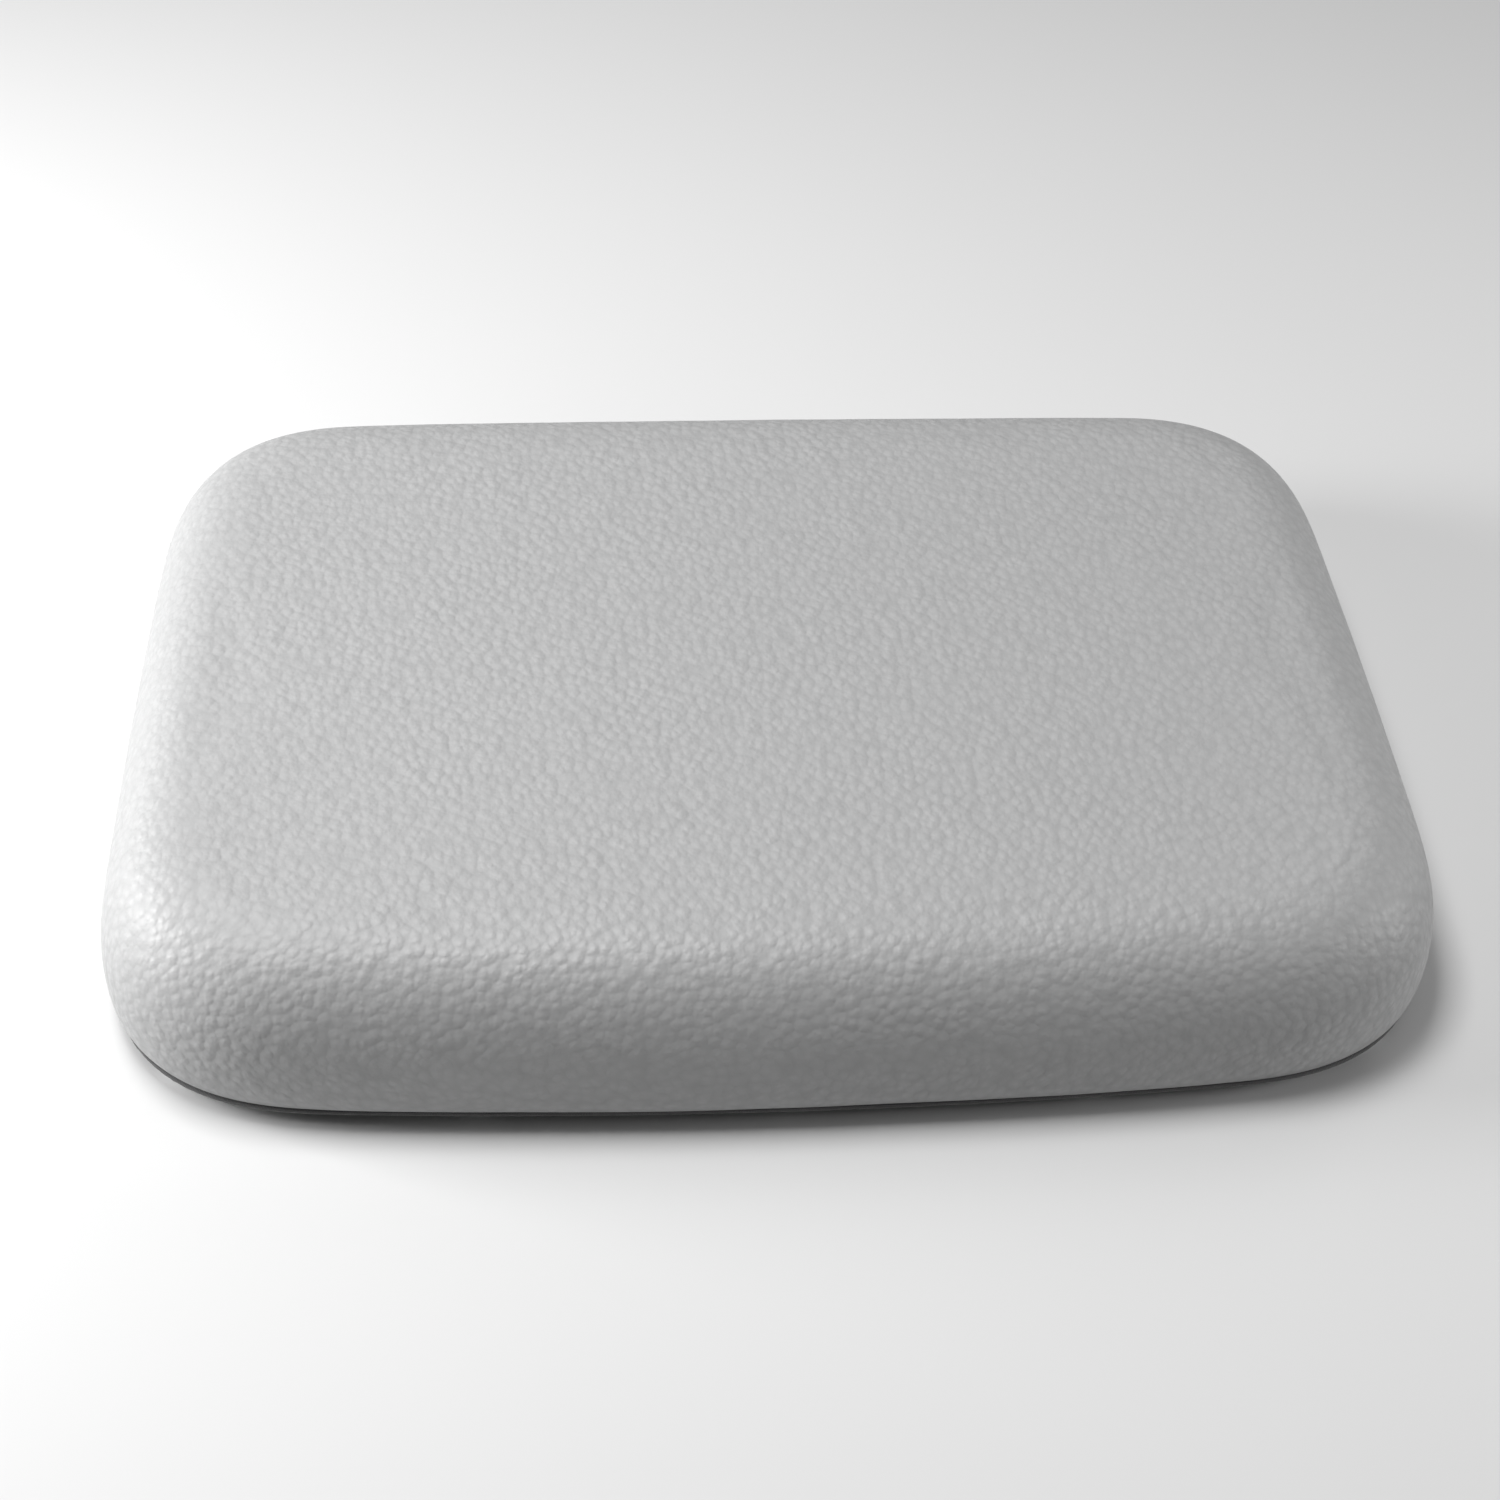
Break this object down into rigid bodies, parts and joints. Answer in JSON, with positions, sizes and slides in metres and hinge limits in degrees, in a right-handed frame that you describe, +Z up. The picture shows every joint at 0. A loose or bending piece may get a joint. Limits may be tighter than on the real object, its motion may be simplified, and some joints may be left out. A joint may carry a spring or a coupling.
{
  "type": "kneeling pad",
  "caption": "Thick soft cushion with a rolled, grained cover over foam, a grip base with low round feet and a zip in the back wall, laid on the ground to kneel on.",
  "frame": {"origin": "middle of the pad's outline, on the surface it lies on", "axes": "+X to the right along the width, +Y from the front edge to the back edge that holds the zip, +Z up"},
  "size_m": [0.44, 0.3, 0.062],
  "materials": {
    "cover_leatherette": "satin",
    "wadding": "matte",
    "comfort_foam": "matte",
    "support_foam": "matte",
    "base_sheet": "matte",
    "edge_binding": "matte",
    "grip_silicone": "satin",
    "facing_fabric": "matte",
    "zip_tape": "matte",
    "zip_teeth": "satin",
    "zip_metal": "satin"
  },
  "bodies": {
    "pad": {"cover_shell": "cover_leatherette", "wadding_layer": "wadding", "comfort_foam": "comfort_foam", "support_foam": "support_foam", "base_sheet": "base_sheet", "edge_binding": "edge_binding", "grip_feet": "grip_silicone", "zip_facing_upper": "facing_fabric", "zip_facing_lower": "facing_fabric", "zip_tape_upper": "zip_tape", "zip_tape_lower": "zip_tape", "zip_teeth_upper": "zip_teeth", "zip_teeth_lower": "zip_teeth", "zip_top_stops": "zip_metal", "zip_bottom_stop": "zip_metal", "zip_end_patch_left": "facing_fabric", "zip_end_patch_right": "facing_fabric"},
    "slider": {"zip_slider": "zip_metal"},
    "pull": {"zip_pull_tab": "zip_metal"}
  },
  "joints": [
    {"name": "zip_run", "type": "slide", "parent": "pad", "child": "slider", "axis": [-1, 0, 0], "range_m": [0, 0.232]},
    {"name": "pull_swing", "type": "hinge", "parent": "slider", "child": "pull", "pos_m": [0.116, 0.1478, 0.022], "axis": [0, 0, -1], "range_deg": [0, 180]}
  ]
}
